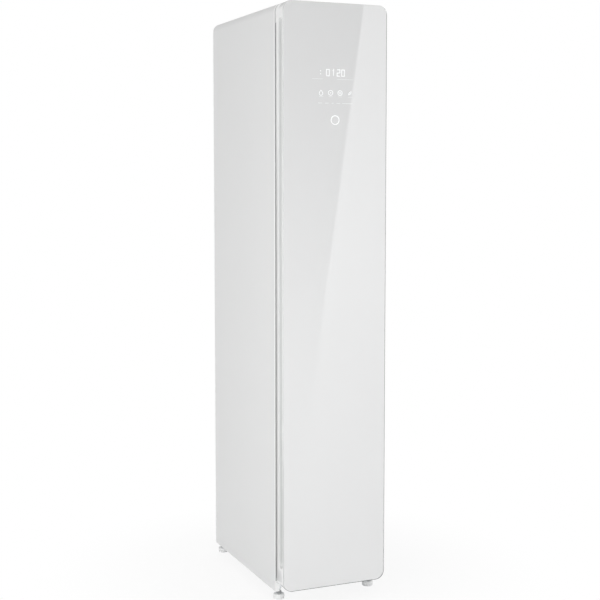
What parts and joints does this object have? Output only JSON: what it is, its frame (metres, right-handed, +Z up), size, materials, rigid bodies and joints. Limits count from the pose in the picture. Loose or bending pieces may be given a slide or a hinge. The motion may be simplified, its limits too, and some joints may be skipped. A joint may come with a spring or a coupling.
{
  "type": "clothes care steam cabinet",
  "caption": "Tall, slim free-standing cabinet that steams and freshens hung clothes, with a glass-fronted door, a full-height side grip, a swinging hanger bar, water tanks and a heat pump.",
  "frame": {"origin": "centre of the closed cabinet's footprint, on the floor", "axes": "+Z up, -Y out of the door's glass front, +X towards the side that the door is hinged on"},
  "size_m": [0.345, 0.63, 1.842],
  "materials": {
    "painted_steel": "satin white paint",
    "white_glass": "polished, painted white behind",
    "white_plastic": "fine satin",
    "cabin_plastic": "satin",
    "grey_plastic": "matte",
    "dark_plastic": "matte",
    "clear_plastic": "clear, faintly blue",
    "blue_plastic": "satin",
    "foam": "foam beads",
    "rubber": "soft pale seal",
    "black_rubber": "matte",
    "steel": "zinc-plated",
    "aluminium": "bare",
    "copper": "bare copper",
    "black_paint": "black enamel",
    "board_green": "lacquered circuit board"
  },
  "bodies": {
    "cabinet": {"outer_case": "painted_steel", "rear_panel": "painted_steel", "cord_gland": "black_rubber", "base_frame": "steel", "insulation_left": "foam", "insulation_right": "foam", "insulation_back": "foam", "cabin_wall_left": "cabin_plastic", "cabin_wall_right": "cabin_plastic", "cabin_wall_back": "cabin_plastic", "cabin_ceiling": "cabin_plastic", "cabin_floor": "cabin_plastic", "cabin_lamp": "clear_plastic", "steam_nozzle": "grey_plastic", "tank_bay": "cabin_plastic", "top_hinge_bracket": "steel", "bottom_hinge_bracket": "steel", "guide_rod_front": "steel", "guide_rod_rear": "steel", "shaker_motor": "black_paint", "control_board": "board_green", "air_duct": "grey_plastic", "evaporator": "aluminium", "condenser": "aluminium", "fan_motor": "black_paint", "compressor": "black_paint", "compressor_mount": "black_rubber", "suction_pipe": "copper", "discharge_pipe": "copper", "steam_generator": "aluminium", "steam_hose": "black_rubber", "feed_pump": "dark_plastic", "drain_pump": "dark_plastic", "feed_hose": "black_rubber", "drain_hose": "black_rubber"},
    "door": {"door_frame": "white_plastic", "door_glass": "white_glass", "door_core": "foam", "door_liner": "cabin_plastic", "door_gasket": "rubber", "display_module": "dark_plastic", "top_hinge_bush": "dark_plastic", "bottom_hinge_bush": "dark_plastic"},
    "hanger": {"hanger_bar": "grey_plastic", "shaker_carriage": "dark_plastic"},
    "crank": {"shaker_crank": "aluminium"},
    "fan": {"fan_wheel": "dark_plastic"},
    "shelf": {"shelf": "white_plastic"},
    "filter": {"lint_filter": "grey_plastic"},
    "aroma": {"aroma_case": "blue_plastic"},
    "supply": {"supply_tank": "clear_plastic", "supply_tank_lid": "white_plastic"},
    "supply_cap": {"supply_tank_cap": "blue_plastic"},
    "drain": {"drain_tank": "clear_plastic", "drain_tank_lid": "grey_plastic"},
    "foot_fl": {"foot_front_left": "white_plastic"},
    "foot_fr": {"foot_front_right": "white_plastic"},
    "foot_rl": {"foot_rear_left": "white_plastic"},
    "foot_rr": {"foot_rear_right": "white_plastic"}
  },
  "joints": [
    {"name": "door_hinge", "type": "hinge", "parent": "cabinet", "child": "door", "pos_m": [0.1605, -0.279, 0.942], "axis": [0, 0, 1], "range_deg": [0, 115]},
    {"name": "hanger_swing", "type": "slide", "parent": "cabinet", "child": "hanger", "axis": [1, 0, 0], "range_m": [-0.02, 0.02]},
    {"name": "crank_spin", "type": "hinge", "parent": "cabinet", "child": "crank", "pos_m": [0, 0.09, 1.797], "axis": [0, 0, 1], "continuous": true},
    {"name": "fan_spin", "type": "hinge", "parent": "cabinet", "child": "fan", "pos_m": [-0.038, 0.16, 0.352], "axis": [0, 0, 1], "continuous": true},
    {"name": "shelf_lift", "type": "slide", "parent": "cabinet", "child": "shelf", "axis": [0, 0, 1], "range_m": [0, 0.03]},
    {"name": "filter_lift", "type": "slide", "parent": "cabinet", "child": "filter", "axis": [0, 0, 1], "range_m": [0, 0.1]},
    {"name": "aroma_lift", "type": "slide", "parent": "cabinet", "child": "aroma", "axis": [0, 0, 1], "range_m": [0, 0.06]},
    {"name": "supply_slide", "type": "slide", "parent": "cabinet", "child": "supply", "axis": [0, -1, 0], "range_m": [0, 0.045]},
    {"name": "cap_turn", "type": "hinge", "parent": "supply", "child": "supply_cap", "pos_m": [-0.0756, -0.152, 0.302], "axis": [0, 0, 1], "range_deg": [0, 90]},
    {"name": "drain_slide", "type": "slide", "parent": "cabinet", "child": "drain", "axis": [0, -1, 0], "range_m": [0, 0.045]},
    {"name": "foot_fl_turn", "type": "hinge", "parent": "cabinet", "child": "foot_fl", "pos_m": [-0.155, -0.232, 0.03], "axis": [0, 0, 1], "continuous": true},
    {"name": "foot_fr_turn", "type": "hinge", "parent": "cabinet", "child": "foot_fr", "pos_m": [0.155, -0.232, 0.03], "axis": [0, 0, 1], "continuous": true},
    {"name": "foot_rl_turn", "type": "hinge", "parent": "cabinet", "child": "foot_rl", "pos_m": [-0.155, 0.285, 0.03], "axis": [0, 0, 1], "continuous": true},
    {"name": "foot_rr_turn", "type": "hinge", "parent": "cabinet", "child": "foot_rr", "pos_m": [0.155, 0.285, 0.03], "axis": [0, 0, 1], "continuous": true}
  ]
}
